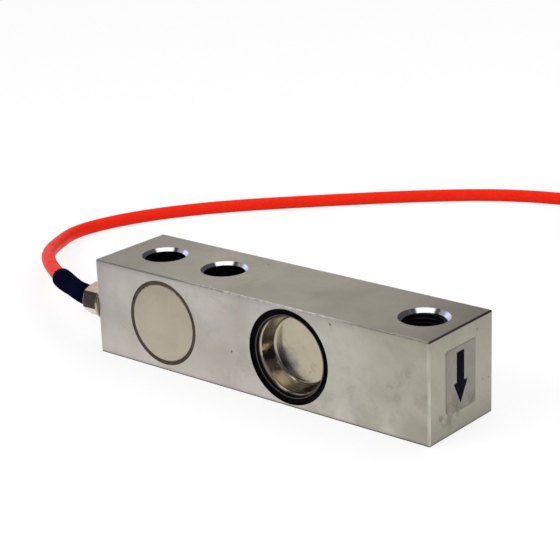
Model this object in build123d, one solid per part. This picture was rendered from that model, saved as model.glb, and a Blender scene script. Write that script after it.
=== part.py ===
# Shear-beam load cell: a square steel beam with two mounting holes, one threaded load hole,
# a gauge section sealed by two drawn cups, a wiring cavity under a flush disc, and a cable.
#
# Millimetres. The origin lies on the base, midway between the two mounting holes.
# +X runs along the beam to the load end, -Y is the front with the wiring cover, +Z is up.

import os
from math import asin, atan2, cos, degrees, radians, sin, sqrt, tan

from build123d import *

# Beam
beam_width = 31.8
beam_height = 31.8
edge_chamfer = 0.5

# Holes down through the beam
cable_end_margin = 15.8
mounting_pitch = 25.4
load_pitch = 76.2
load_end_margin = 12.8
mounting_hole_dia = 13.0
mounting_hole_chamfer = 1.0
load_hole_dia = 12.7
load_hole_chamfer = 1.4

# Gauge pockets, one from each side, with a thin web left between them
web_thickness = 3.4
pocket_dia = 26.4
sealant_groove_dia = 30.0
sealant_groove_depth = 2.4
sealant_surface_depth = 1.1
sealant_meniscus = 0.35

# Drawn cup that closes a pocket
cup_sheet = 0.5
cup_rim_depth = 0.45
cup_rim_height = 1.05
cup_shoulder = 0.65
cup_bottom_dia = 21.6
cup_depth = 6.55
cup_dish = 0.3
cup_corner_chamfer = 0.9

# Wiring cavity and its flush cover
wiring_cavity_dia = 23.2
wiring_cavity_depth = 8.0
cover_dia = 25.1
cover_recess_dia = 27.7
cover_thickness = 1.6
cover_edge_break = 0.15
cover_sealant_recess = 0.12

# Long drilling from the cable end, through the wiring cavity, to the front gauge pocket
drilling_inset = 5.2
drilling_drop = 0.3
cable_drill_dia = 3.8
lead_drill_dia = 2.6
web_hole_dia = 2.2
web_hole_back = 9.0
web_hole_drop = 6.5

# Cable gland
gland_thread_dia = 6.0
gland_thread_length = 6.5
gland_thread_hole_depth = 7.5
gland_face_dia = 12.2
gland_face_height = 1.0
gland_hex_flats = 9.5
gland_hex_length = 7.2
gland_hex_turn = 16
gland_hex_chamfer_angle = 30
gland_jacket_depth = 3.0
gland_mouth_depth = 3.0
o_ring_section = 1.0
o_ring_dia = 7.3
o_ring_groove_play = 0.15
potting_length = 3.0

# Cable, the sleeve where it leaves the gland, and its put-away coil
cable_dia = 5.0
bore_clearance = 0.05
sleeve_wall = 1.1
sleeve_edge_chamfer = 0.4
sleeve_past_bend = 6.9
coil_mid_radius = 25.3
coil_columns = 4
coil_layers = 4
coil_centre = (76.0, 190.5)
coil_corner_chamfer = 1.6

# Free end of the cable: end sleeve and flying leads
end_sleeve_dia = 6.2
end_sleeve_on_cable = 7.0
end_sleeve_past_cable = 5.0
flying_lead_runs = (5.0, 12.0, 11.0)
flying_lead_pitch = 3.4
flying_lead_splay = 1.15
bare_tip_dia = 0.6
bare_tip_length = 6.0

# Conductors inside the cable
conductor_dia = 1.0
conductor_spread = 0.62
drain_dia = 0.5

# Terminal board in the wiring cavity
board_length = 16.0
board_width = 14.0
board_thickness = 0.8
board_corner_radius = 2.0
adhesive_thickness = 0.3
adhesive_margin = 1.0
solder_height = 0.4
solder_base_dia = 1.5
solder_taper = 30
cable_pad_x = -5.6
cable_pad_pitch = 3.0
lead_pad_x = 5.8
lead_pad_pitch = 2.0
resistor_dia = 1.5
resistor_cap_dia = 1.7
resistor_cap_length = 0.7
resistor_length = 4.2
resistor_pitch = 4.6
resistor_shift = 1.6

# Shear gauges and their terminals on the web
gauge_backing = 0.1
gauge_length = 10.0
gauge_height = 9.0
grid_strips = 5
grid_strip_width = 0.4
grid_strip_length = 3.2
grid_foil = 0.05
grid_offset = 2.45
terminal_length = 2.2
terminal_height = 6.0
terminal_thickness = 0.3
terminal_back = 8.3

# Leads between the board and the gauge terminals
lead_dia = 0.3
lead_ring_radius = 0.75
lead_wall_gap = 0.25
lead_column_step = 0.32
lead_level_step = 0.6
lead_stand_off = 1.2
lead_crossing_height = 4.0
web_wire_ring_radius = 0.5

# Foil label on the load end
label_width = 14.8
label_height = 19.8
label_thickness = 0.15
label_shift_y = -0.5
label_centre_height = 16.3
label_torn_corner = 1.6

# Places worked out from the dimensions
beam_length = cable_end_margin + mounting_pitch + load_pitch + load_end_margin
mid_z = beam_height / 2
front_y = -beam_width / 2
first_hole_x = -mounting_pitch / 2
second_hole_x = mounting_pitch / 2
load_hole_x = second_hole_x + load_pitch
cable_face_x = first_hole_x - cable_end_margin
load_face_x = cable_face_x + beam_length
pocket_x = (second_hole_x + load_hole_x) / 2
pocket_radius = pocket_dia / 2
web_depth = (beam_width - web_thickness) / 2
web_hole_x = pocket_x - web_hole_back
web_hole_z = mid_z - web_hole_drop
wiring_x = (first_hole_x + second_hole_x) / 2
wiring_radius = wiring_cavity_dia / 2
drilling_y = front_y + drilling_inset
drilling_height = mid_z - drilling_drop
board_back = wiring_cavity_depth - adhesive_thickness
board_front = board_back - board_thickness
solder_y = front_y + board_front - solder_height
cable_radius = cable_dia / 2
sleeve_radius = cable_radius + sleeve_wall
gland_length = gland_face_height + gland_hex_length

# Frames whose +Z points out of the face, with the origin on the face
front_pocket = Plane((pocket_x, front_y, mid_z), x_dir=(1, 0, 0), z_dir=(0, -1, 0))
rear_pocket = Plane((pocket_x, -front_y, mid_z), x_dir=(-1, 0, 0), z_dir=(0, 1, 0))
wiring_face = Plane((wiring_x, front_y, mid_z), x_dir=(1, 0, 0), z_dir=(0, -1, 0))
cable_face = Plane((cable_face_x, drilling_y, drilling_height), x_dir=(0, 1, 0), z_dir=(-1, 0, 0))
load_face = Plane((load_face_x, label_shift_y, label_centre_height), x_dir=(0, 1, 0), z_dir=(1, 0, 0))

# Cord route from the end of the jacket inside the gland, laid on the floor; one more point
# on the line that touches the coil's outer turn follows below
cord_route = [
    (cable_face_x - gland_jacket_depth, drilling_y, drilling_height),
    (-40.0, drilling_y, drilling_height),
    (-55.5, -4.3, 15.3),
    (-66.5, 1.9, 14.2),
    (-84.0, 13.8, 12.0),
    (-101.0, 29.0, 8.2),
    (-116.0, 48.0, 4.2),
    (-125.5, 66.0, cable_radius),
    (-121.5, 86.0, cable_radius),
    (-111.5, 106.0, cable_radius),
    (-96.0, 126.5, cable_radius),
    (-70.0, 152.2, cable_radius),
    (-41.0, 178.8, cable_radius),
    (-12.0, 200.5, cable_radius),
    (20.0, 210.5, cable_radius),
]

# Free end of the cord, from the coil's top turn down to the floor
coil_half_width = coil_columns * cable_radius
coil_height = coil_layers * cable_dia
coil_outer_turn = coil_mid_radius + coil_half_width - cable_radius
tail_angle = 13.0
tail_heading = tail_angle - 90
tail_slope = 0.19
tail_stub = 21.0
tail_runs = (12.0, 20.0, 18.0)
tail_turn = 4.0
last_cord_run = 28.5


def round_plug(radius, top, bottom):
    """A round solid between two depths below a face."""
    return Pos(0, 0, -bottom) * extrude(Circle(radius), bottom - top)


def turned(points):
    """A solid turned about Z from an outline of (radius, height) points."""
    return revolve(Plane.XZ * make_face(Polyline(*points, close=True)), Axis.Z)


def swept(points, bends, section):
    """A section carried along straight runs joined by arcs of the given radii."""
    path = FilletPolyline(*points, radius=bends)
    return sweep(Plane(path @ 0, z_dir=path % 0) * section, path=path)


def wire(points, diameter):
    """A thin eight-sided wire of straight runs with mitred corners."""
    path = Polyline(*points)
    section = Plane(path @ 0, z_dir=path % 0) * RegularPolygon(diameter / 2, 8)
    return sweep(section, path=path, transition=Transition.RIGHT)


def straight_rod(start, end, radius):
    """A round rod between two points."""
    axis = Vector(*end) - Vector(*start)
    return Plane(Vector(*start), z_dir=axis) * extrude(Circle(radius), axis.length)


def through_hole(x, diameter, lead_in):
    """Cutter for a hole down through the beam, opened out at both ends."""
    r = diameter / 2
    outline = [
        (0, 0),
        (r + lead_in, 0),
        (r, lead_in),
        (r, beam_height - lead_in),
        (r + lead_in, beam_height),
        (0, beam_height),
    ]
    return Pos(x, 0, 0) * turned(outline)


def drilling(diameter, start_x, end_x):
    """Cutter for a stretch of the long drilling."""
    frame = Plane((start_x, drilling_y, drilling_height), z_dir=(1, 0, 0))
    return frame * extrude(Circle(diameter / 2), end_x - start_x)


def beam_body():
    """The beam with its holes, pockets, wiring cavity and drillings."""
    block = Box(beam_length, beam_width, beam_height)
    body = Pos(cable_face_x + beam_length / 2, 0, mid_z) * chamfer(block.edges(), edge_chamfer)
    for x in (first_hole_x, second_hole_x):
        body -= through_hole(x, mounting_hole_dia, mounting_hole_chamfer)
    body -= through_hole(load_hole_x, load_hole_dia, load_hole_chamfer)
    for face in (front_pocket, rear_pocket):
        body -= face * round_plug(sealant_groove_dia / 2, 0, sealant_groove_depth)
        body -= face * round_plug(pocket_radius, 0, web_depth)
    body -= wiring_face * round_plug(cover_recess_dia / 2, 0, cover_thickness)
    body -= wiring_face * round_plug(wiring_radius, 0, wiring_cavity_depth)
    body -= drilling(gland_thread_dia, cable_face_x, cable_face_x + gland_thread_hole_depth)
    body -= drilling(cable_drill_dia, cable_face_x, wiring_x)
    body -= drilling(lead_drill_dia, wiring_x, pocket_x)
    web_hole = Plane((web_hole_x, -web_thickness / 2, web_hole_z), z_dir=(0, 1, 0))
    return body - web_hole * extrude(Circle(web_hole_dia / 2), web_thickness)


def bowl(grow):
    """The round space inside a cup, or with the sheet's thickness added, the cup's outside."""
    rim_radius = pocket_radius - cup_sheet + grow
    rim_end = cup_rim_depth + cup_rim_height + grow * tan(radians(22.5))
    wall_radius = rim_radius - cup_shoulder
    wall_start = rim_end + cup_shoulder
    bottom_radius = cup_bottom_dia / 2 + grow
    bottom = cup_rim_depth + cup_depth + grow
    slope = atan2(bottom - wall_start, wall_radius - bottom_radius)
    outline = [
        (0, -cup_rim_depth),
        (rim_radius, -cup_rim_depth),
        (rim_radius, -rim_end),
        (wall_radius, -wall_start),
        (
            bottom_radius + cup_corner_chamfer * cos(slope),
            cup_corner_chamfer * sin(slope) - bottom,
        ),
        (bottom_radius - cup_corner_chamfer, -bottom),
        (0, -bottom - cup_dish),
    ]
    return turned(outline)


def gauge_cup():
    """Drawn sheet cup, open outwards: a rim, a shoulder, a steep wall and a dished bottom."""
    return bowl(cup_sheet) - bowl(0)


def cup_sealant():
    """Black compound in the groove round a cup, with a hollow surface."""
    inside = pocket_radius
    outside = sealant_groove_dia / 2
    edge = sealant_meniscus - sealant_surface_depth
    outline = [
        (inside, edge),
        (inside + sealant_meniscus, -sealant_surface_depth),
        (outside - sealant_meniscus, -sealant_surface_depth),
        (outside, edge),
        (outside, -sealant_groove_depth),
        (inside, -sealant_groove_depth),
    ]
    return turned(outline)


def wiring_cover():
    """Flush disc on the step of the wiring cavity."""
    disc = round_plug(cover_dia / 2, 0, cover_thickness)
    return wiring_face * chamfer(disc.edges().group_by(Axis.Z)[-1], cover_edge_break)


def wiring_cover_sealant():
    """Ring of compound between the cover and its recess."""
    outer = round_plug(cover_recess_dia / 2, cover_sealant_recess, cover_thickness)
    inner = round_plug(cover_dia / 2, cover_sealant_recess, cover_thickness)
    return wiring_face * (outer - inner)


def hexagon(flats, length, chamfer_angle):
    """A hexagonal prism, standing on its base, whose outer end is turned to a cone."""
    corner_r = flats / 2 / cos(radians(30))
    cone_width = 2 * (corner_r - flats / 2)
    cone_height = cone_width * tan(radians(chamfer_angle))
    outline = [
        (0, 0),
        (corner_r, 0),
        (corner_r, length - cone_height),
        (corner_r - cone_width, length),
        (0, length),
    ]
    return extrude(RegularPolygon(corner_r, 6), length) & turned(outline)


def gland_body():
    """Threaded gland: spigot, washer face and a hexagon whose mouth holds the sleeve."""
    hex_part = hexagon(gland_hex_flats, gland_hex_length, gland_hex_chamfer_angle)
    hex_part = Rot(0, 0, -gland_hex_turn) * hex_part
    gland = round_plug(gland_thread_dia / 2, 0, gland_thread_length)
    gland += round_plug(gland_face_dia / 2, -gland_face_height, 0)
    gland += Pos(0, 0, gland_face_height) * hex_part
    gland -= round_plug(cable_drill_dia / 2, -gland_jacket_depth, gland_thread_length)
    gland -= round_plug(cable_radius + bore_clearance, -gland_length, -gland_jacket_depth)
    mouth = gland_length - gland_mouth_depth
    gland -= round_plug(sleeve_radius + bore_clearance, -gland_length, -mouth)
    half = o_ring_section / 2 + o_ring_groove_play
    groove = round_plug(o_ring_dia / 2 + half, -o_ring_section, 0)
    groove -= round_plug(o_ring_dia / 2 - half, -o_ring_section, 0)
    return cable_face * (gland - groove)


def gland_o_ring():
    """Sealing ring between the gland and the beam's end face."""
    section = RegularPolygon(o_ring_section / 2, 8, major_radius=False, rotation=22.5)
    ring = revolve(Plane.XZ * Pos(o_ring_dia / 2, o_ring_section / 2) * section, Axis.Z)
    return cable_face * ring


def conductor_steps():
    """Places of the conductors in the cable, as (colour, y, z), in their order on the board."""
    s = conductor_spread
    return [("white", -s, -s), ("green", s, -s), ("black", s, s), ("red", -s, s)]


def gland_potting():
    """Resin plug round the conductors, in the inner end of the gland's spigot."""
    end_x = cable_face_x + gland_thread_length
    start_x = end_x - potting_length
    plug = drilling(cable_drill_dia, start_x, end_x)
    for _, dy, dz in conductor_steps():
        plug -= Pos(0, dy, dz) * drilling(conductor_dia, start_x, end_x)
    return plug - drilling(drain_dia, start_x, end_x)


def board_plate(length, width, corner, front, back):
    """A plate with round corners between two depths of the wiring cavity."""
    outline = RectangleRounded(length, width, corner)
    return wiring_face * Pos(0, 0, -back) * extrude(outline, back - front)


def cable_pads():
    """Solder places of the four conductors, lowest first, then that of the drain wire."""
    pads = [(cable_pad_x, (row - 1.5) * cable_pad_pitch) for row in range(4)]
    return pads + [(cable_pad_x + cable_pad_pitch, 0)]


def lead_pads():
    """Solder places of the six gauge leads, lowest first."""
    return [(lead_pad_x, (row - 2.5) * lead_pad_pitch) for row in range(6)]


def solder_joints():
    """A small eight-sided cone of solder under every wire end on the board."""
    base = RegularPolygon(solder_base_dia / 2, 8)
    joint = extrude(base, solder_height, taper=solder_taper)
    places = cable_pads() + lead_pads()
    return Compound(children=[wiring_face * Pos(x, z, -board_front) * joint for x, z in places])


def trim_resistors():
    """Two round resistors with end caps, lying on the board."""
    body_r = resistor_dia / 2
    cap_r = resistor_cap_dia / 2
    half = resistor_length / 2
    cap = half - resistor_cap_length
    outline = [
        (0, -half),
        (cap_r, -half),
        (cap_r, -cap),
        (body_r, -cap),
        (body_r, cap),
        (cap_r, cap),
        (cap_r, half),
        (0, half),
    ]
    resistor = Rot(0, 90, 0) * turned(outline)
    depth = board_front - cap_r
    rows = (-resistor_pitch / 2, resistor_pitch / 2)
    return Compound(children=[wiring_face * Pos(resistor_shift, z, -depth) * resistor for z in rows])


def board_wire(pad, dy, dz, diameter):
    """A conductor from the end of the cable's jacket to its place on the board."""
    x = wiring_x + pad[0]
    z = mid_z + pad[1]
    y = drilling_y + dy
    points = [
        (cable_face_x - gland_jacket_depth, y, drilling_height + dz),
        (wiring_x - wiring_radius + conductor_dia, y, drilling_height + dz),
        (x - 2 * conductor_dia, y, z),
        (x, y, z),
        (x, solder_y, z),
    ]
    return wire(points, diameter)


def lead_steps():
    """Places of the six leads in their drilling, as (y, z, column), lowest first.

    The deeper a lead lies, the nearer its column is to the pocket's wall.
    """
    r = lead_ring_radius
    side = r * cos(radians(30))
    return [
        (0, -r, 1),
        (-side, -r / 2, 2),
        (side, -r / 2, 0),
        (side, r / 2, 0),
        (-side, r / 2, 2),
        (0, r, 1),
    ]


def gauge_lead(slot, onward):
    """A lead from the board to the wall of the front pocket, and on through given points."""
    dy, dz, column = lead_steps()[slot]
    pad_x, pad_z = lead_pads()[slot]
    y = drilling_y + dy
    z = drilling_height + dz
    turn_x = pocket_x - pocket_radius + lead_wall_gap + column * lead_column_step
    points = [
        (wiring_x + pad_x, solder_y, mid_z + pad_z),
        (wiring_x + pad_x, y, mid_z + pad_z),
        (wiring_x + wiring_radius - 3 * lead_dia, y, z),
        (turn_x, y, z),
        (turn_x, onward[0][1], z),
    ]
    return wire(points + onward, lead_dia)


def gauge_leads_front():
    """Three leads to the terminals on the front of the web."""
    terminal_x = pocket_x - terminal_back
    terminal_y = -web_thickness / 2 - terminal_thickness
    leads = []
    for row, slot in enumerate((3, 4, 5)):
        z = mid_z + (row - 1) * lead_pad_pitch
        onward = [(terminal_x, terminal_y - lead_stand_off, z), (terminal_x, terminal_y, z)]
        leads.append(gauge_lead(slot, onward))
    return Compound(children=leads)


def gauge_leads_rear():
    """Three leads through the hole in the web to the terminals on its rear."""
    terminal_x = pocket_x - terminal_back
    terminal_y = web_thickness / 2 + terminal_thickness
    crossing_order = {0: 1, 2: 0, 1: 2}
    leads = []
    for row, slot in enumerate(crossing_order):
        angle = radians(90 + 120 * row)
        x = web_hole_x + web_wire_ring_radius * cos(angle)
        hole_z = web_hole_z + web_wire_ring_radius * sin(angle)
        z = mid_z + (row - 1) * lead_pad_pitch
        rise = lead_crossing_height + crossing_order[slot] * lead_level_step
        run_y = terminal_y + lead_stand_off + row * lead_level_step
        onward = [
            (x, -web_thickness / 2 - rise, hole_z),
            (x, run_y, hole_z),
            (terminal_x, run_y, z),
            (terminal_x, terminal_y, z),
        ]
        leads.append(gauge_lead(slot, onward))
    return Compound(children=leads)


def web_face(side):
    """Frame on the web's front (-1) or rear (+1) side, with +Z away from the web."""
    return Plane((pocket_x, side * web_thickness / 2, mid_z), x_dir=(1, 0, 0), z_dir=(0, side, 0))


def shear_gauge(side):
    """Foil gauge: a thin backing with two grids of strips at 45 degrees to the beam."""
    gauge = extrude(Rectangle(gauge_length, gauge_height), gauge_backing)
    strip = extrude(Rectangle(grid_strip_length, grid_strip_width), grid_foil)
    for tilt in (-1, 1):
        grid = Pos(tilt * grid_offset, 0, gauge_backing) * Rot(0, 0, tilt * 45)
        for row in range(grid_strips):
            step = (row - (grid_strips - 1) / 2) * 2 * grid_strip_width
            gauge += grid * Pos(0, step, 0) * strip
    return web_face(side) * gauge


def gauge_terminals(side):
    """Small terminal strip on the web, beside the gauge."""
    strip = extrude(Rectangle(terminal_length, terminal_height), terminal_thickness)
    return web_face(side) * Pos(-terminal_back, 0, 0) * strip


def load_label():
    """Foil label with a torn lower corner."""
    w = label_width / 2
    h = label_height / 2
    tear = label_torn_corner
    outline = Polyline(
        (-w, h),
        (-w, tear - h),
        (0.4 * tear - w, 0.5 * tear - h),
        (tear - w, -h),
        (w, -h),
        (w, h),
        close=True,
    )
    return load_face * extrude(make_face(outline), label_thickness)


def corner_radii(points):
    """The largest arcs that the runs beside each corner leave room for."""
    radii = []
    for before, here, after in zip(points, points[1:], points[2:]):
        run_in = Vector(*here) - Vector(*before)
        run_out = Vector(*after) - Vector(*here)
        turn = radians(run_in.get_angle(run_out))
        radii.append(0.45 * min(run_in.length, run_out.length) / tan(turn / 2))
    return radii


def cord_tube(points):
    """A plain tube of the cord's diameter along its route."""
    return swept(points, corner_radii(points), Circle(cable_radius))


def strain_relief_sleeve():
    """Heat-shrink sleeve from the gland's mouth along the first bends of the cable."""
    bend_start, bend_end, onward = (Vector(*point) for point in cord_route[1:4])
    mouth = (cable_face_x - gland_length + gland_mouth_depth, drilling_y, drilling_height)
    end = bend_end + (onward - bend_end).normalized() * sleeve_past_bend
    section = Circle(sleeve_radius) - Circle(cable_radius)
    sleeve = swept([mouth, bend_start, bend_end, end], corner_radii(cord_route)[:2], section)
    rim = sleeve.edges().filter_by(GeomType.CIRCLE).sort_by(Axis.X)[:2]
    return chamfer(rim.sort_by(SortBy.LENGTH)[-1], sleeve_edge_chamfer)


def along(start, heading, distance, level):
    """The point at a level and a distance from a start, in a compass direction."""
    angle = radians(heading)
    return (start[0] + distance * cos(angle), start[1] + distance * sin(angle), level)


def touching_line(point):
    """Heading and reach of the line from a floor point that touches the coil's outer turn."""
    to_centre = Vector(*coil_centre, cable_radius) - Vector(*point)
    bearing = degrees(atan2(to_centre.Y, to_centre.X))
    heading = bearing + degrees(asin(coil_outer_turn / to_centre.length))
    return heading, sqrt(to_centre.length**2 - coil_outer_turn**2)


def whole_cord_route():
    """The cord's route with its last point, just short of the coil."""
    heading, _ = touching_line(cord_route[-1])
    return cord_route + [along(cord_route[-1], heading, last_cord_run, cable_radius)]


def tail_start():
    """Where the cord's free end leaves the coil's top turn."""
    return along(coil_centre, tail_angle, coil_outer_turn, coil_height - cable_radius)


def tail_route():
    """The free end of the cord, from the end of the coil's stub to the floor."""
    start = tail_start()
    points = []
    for distance in (tail_stub, tail_stub + tail_runs[0]):
        points.append(along(start, tail_heading, distance, start[2] - tail_slope * distance))
    for step, run in enumerate(tail_runs[1:]):
        heading = tail_heading + (step + 1) * tail_turn
        points.append(along(points[-1], heading, run, end_sleeve_dia / 2))
    return points


def cable_coil():
    """The outer shape of the wound coil, with the two straight ends that leave it."""
    section = Rectangle(2 * coil_half_width, coil_height)
    section = chamfer(section.vertices(), coil_corner_chamfer)
    section = Plane.XZ * Pos(coil_mid_radius, coil_height / 2) * section
    coil = Pos(*coil_centre, 0) * revolve(section, Axis.Z)
    lead_in = whole_cord_route()[-1]
    heading, reach = touching_line(lead_in)
    coil += straight_rod(lead_in, along(lead_in, heading, reach, cable_radius), cable_radius)
    return coil + straight_rod(tail_start(), tail_route()[0], cable_radius)


def tail_frame():
    """Frame at the end of the cable's jacket: +Z along the cord, +X level to one side."""
    before, last = (Vector(*point) for point in tail_route()[-2:])
    direction = (last - before).normalized()
    return Plane(last, x_dir=(-direction.Y, direction.X, 0), z_dir=direction)


def end_sleeve():
    """Short sleeve shrunk over the end of the jacket, closed round the leads."""
    sleeve = round_plug(end_sleeve_dia / 2, -end_sleeve_past_cable, end_sleeve_on_cable)
    return tail_frame() * (sleeve - round_plug(cable_radius, 0, end_sleeve_on_cable))


def flying_route(side_start, side_end, rise, diameter):
    """A lead's route from the end sleeve to the floor, in the frame of the cable's end."""
    drop = end_sleeve_dia / 2 - diameter / 2
    first, second, third = flying_lead_runs
    base = end_sleeve_past_cable
    return [
        (side_start, rise, base),
        (side_start, rise, base + first),
        (side_end, -drop, base + first + second),
        (side_end * flying_lead_splay, -drop, base + first + second + third),
    ]


def flying_routes():
    """Routes of the four coloured leads, which fan out to four lanes on the floor.

    The leads that leave higher up take the outer lanes.
    """
    routes = {}
    for colour, dy, dz in conductor_steps():
        lane = 1.5 if dy < 0 else 0.5
        side_end = lane * flying_lead_pitch * (1 if dz > 0 else -1)
        routes[colour] = flying_route(dz, side_end, -dy, conductor_dia)
    return routes


def flying_lead(colour):
    """One insulated lead at the free end."""
    return tail_frame() * wire(flying_routes()[colour], conductor_dia)


def flying_drain():
    """The bare drain wire at the free end, in the middle of the leads."""
    route = flying_route(0, 0, 0, drain_dia)
    return tail_frame() * wire(route[:3], drain_dia)


def tinned_tips():
    """The stripped and tinned tips of the four leads."""
    tips = []
    for route in flying_routes().values():
        before, last = (Vector(*point) for point in route[-2:])
        tip = last + (last - before).normalized() * bare_tip_length
        tips.append(tail_frame() * straight_rod(tuple(last), tuple(tip), bare_tip_dia / 2))
    return Compound(children=tips)


def fixed_pieces():
    """The pieces of the cell itself, by node name."""
    pads = cable_pads()
    pieces = {
        "beam_body": beam_body(),
        "wiring_cover": wiring_cover(),
        "wiring_cover_sealant": wiring_cover_sealant(),
        "gauge_cup_front": front_pocket * gauge_cup(),
        "gauge_cup_rear": rear_pocket * gauge_cup(),
        "cup_sealant_front": front_pocket * cup_sealant(),
        "cup_sealant_rear": rear_pocket * cup_sealant(),
        "shear_gauge_front": shear_gauge(-1),
        "shear_gauge_rear": shear_gauge(1),
        "gauge_terminals_front": gauge_terminals(-1),
        "gauge_terminals_rear": gauge_terminals(1),
        "gauge_leads_front": gauge_leads_front(),
        "gauge_leads_rear": gauge_leads_rear(),
        "terminal_board": board_plate(
            board_length, board_width, board_corner_radius, board_front, board_back
        ),
        "board_adhesive": board_plate(
            board_length - 2 * adhesive_margin,
            board_width - 2 * adhesive_margin,
            board_corner_radius,
            board_back,
            wiring_cavity_depth,
        ),
        "trim_resistors": trim_resistors(),
        "solder_joints": solder_joints(),
        "gland_body": gland_body(),
        "gland_o_ring": gland_o_ring(),
        "gland_potting": gland_potting(),
        "drain_wire": board_wire(pads[4], 0, 0, drain_dia),
        "load_label": load_label(),
    }
    for pad, (colour, dy, dz) in zip(pads, conductor_steps()):
        pieces[f"conductor_{colour}"] = board_wire(pad, dy, dz, conductor_dia)
    return pieces


def cord_pieces():
    """The cable, its strain relief, its coil and what is on its free end, by node name."""
    pieces = {
        "strain_relief_sleeve": strain_relief_sleeve(),
        "cable": cord_tube(whole_cord_route()),
        "cable_coil": cable_coil(),
        "cable_tail": cord_tube(tail_route()),
        "end_sleeve": end_sleeve(),
        "flying_drain": flying_drain(),
        "tinned_tips": tinned_tips(),
    }
    for colour, _, _ in conductor_steps():
        pieces[f"flying_lead_{colour}"] = flying_lead(colour)
    return pieces


def build():
    """Write every piece, and print the cord's arcs and its length outside the coil."""
    os.makedirs("parts", exist_ok=True)
    for name, piece in {**fixed_pieces(), **cord_pieces()}.items():
        export_step(piece, f"parts/{name}.step")
    for name, route in (("cable", whole_cord_route()), ("tail", tail_route())):
        radii = corner_radii(route)
        length = FilletPolyline(*route, radius=radii).length
        print(name, "radii", [round(r) for r in radii], "length", round(length, 1))


if __name__ == "__main__":
    build()
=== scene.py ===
# Looks of a shear beam load cell: ground steel beam, sealed gauge cup, flush wiring disc,
# threaded load hole, hexagonal gland with a shrunk sleeve, and a red sheathed cable.
# Shapes are given in millimetres and materials in metres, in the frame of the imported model.

import math

import bmesh
import bpy
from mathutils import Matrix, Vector, noise


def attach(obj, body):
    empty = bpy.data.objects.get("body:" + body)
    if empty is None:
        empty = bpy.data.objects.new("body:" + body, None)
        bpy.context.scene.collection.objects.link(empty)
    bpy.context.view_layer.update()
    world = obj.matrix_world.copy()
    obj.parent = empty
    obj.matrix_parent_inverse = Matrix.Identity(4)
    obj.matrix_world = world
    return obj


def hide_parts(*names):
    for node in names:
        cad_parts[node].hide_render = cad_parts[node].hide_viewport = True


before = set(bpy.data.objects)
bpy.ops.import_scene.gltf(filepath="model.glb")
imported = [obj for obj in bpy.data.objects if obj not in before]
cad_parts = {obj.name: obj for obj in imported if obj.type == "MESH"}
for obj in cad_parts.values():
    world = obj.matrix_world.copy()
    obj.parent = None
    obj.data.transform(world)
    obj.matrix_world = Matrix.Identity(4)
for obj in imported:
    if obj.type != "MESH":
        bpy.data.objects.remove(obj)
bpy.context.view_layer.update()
MM = 0.001
TAU = 2 * math.pi

# Sizes shared with the solids, in millimetres
LENGTH, WIDTH, HEIGHT = 130.2, 31.8, 31.8
CABLE_FACE = -28.5
LOAD_FACE = CABLE_FACE + LENGTH
FRONT = -WIDTH / 2
MID = HEIGHT / 2
MOUNTING_HOLES = (-12.7, 12.7)
MOUNTING_HOLE_R, MOUNTING_LEAD_IN = 6.5, 1.0
LOAD_HOLE = 88.9
LOAD_HOLE_R, LOAD_LEAD_IN = 6.4, 1.35
POCKET = 50.8
POCKET_R, POCKET_DEPTH = 13.2, 14.2
GROOVE_R, GROOVE_DEPTH = 15.0, 2.4
DISC_R, DISC_THICKNESS = 12.55, 1.6
RECESS_R = 13.85
WIRING_R, WIRING_DEPTH = 11.6, 8.0
WEB_HOLE, WEB_HOLE_R, WEB_REACH = (41.8, 9.4), 1.1, 3
GLAND_Y, GLAND_Z = -10.7, 15.6
SPIGOT_R, SPIGOT_LENGTH = 3.0, 6.5
SPIGOT_HOLE = 7.5
FLANGE_R, FLANGE_THICKNESS = 6.1, 1.0
CORE_R = 1.9
LEAD_HOLE_R = 1.3
CABLE_R = 2.5
LEAD_R = 0.5
DRAIN_R = 0.25


# Meshes

def linked(name, data):
    """An object in the scene that holds the given data."""
    obj = bpy.data.objects.new(name, data)
    bpy.context.collection.objects.link(obj)
    return obj


def new_object(name, verts, faces, smooth=True):
    """A mesh object from points in millimetres."""
    mesh = bpy.data.meshes.new(name)
    mesh.from_pydata([Vector(v) * MM for v in verts], [], faces)
    mesh.validate()
    mesh.polygons.foreach_set("use_smooth", [smooth] * len(mesh.polygons))
    return linked(name, mesh)


def facing_out(obj):
    """Turns every face of a closed mesh outwards."""
    bm = bmesh.new()
    bm.from_mesh(obj.data)
    bmesh.ops.recalc_face_normals(bm, faces=bm.faces)
    bm.to_mesh(obj.data)
    bm.free()
    return obj


def frame_of(origin, out, right):
    """Origin and three axes of a face: out of it, to its right and up on it."""
    out, right = Vector(out), Vector(right)
    return Vector(origin), out, right, out.cross(right)


FRONT_CUP = frame_of((POCKET, FRONT, MID), (0, -1, 0), (1, 0, 0))
REAR_CUP = frame_of((POCKET, -FRONT, MID), (0, 1, 0), (-1, 0, 0))
DISC = frame_of((0, FRONT, MID), (0, -1, 0), (1, 0, 0))
GLAND = frame_of((CABLE_FACE, GLAND_Y, GLAND_Z), (-1, 0, 0), (0, 1, 0))


def upright(x):
    """Frame of a hole down through the beam."""
    return frame_of((x, 0, 0), (0, 0, 1), (1, 0, 0))


def lathe(name, place, outline, segments=128, closed=False):
    """A turned surface. The outline is (radius, height above the face) points."""
    origin, out, right, up = place
    verts, faces, rings = [], [], []
    for r, h in outline:
        if r == 0:
            rings.append([len(verts)] * segments)
            verts.append(origin + out * h)
            continue
        rings.append(list(range(len(verts), len(verts) + segments)))
        for i in range(segments):
            a = TAU * i / segments
            verts.append(origin + out * h + (right * math.cos(a) + up * math.sin(a)) * r)
    pairs = list(zip(rings, rings[1:])) + ([(rings[-1], rings[0])] if closed else [])
    for low, high in pairs:
        for i in range(segments):
            j = (i + 1) % segments
            face = [low[i], low[j], high[j], high[i]]
            face = [v for k, v in enumerate(face) if v != face[k - 1]]
            if len(face) > 2:
                faces.append(face)
    return facing_out(new_object(name, verts, faces))


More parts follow.
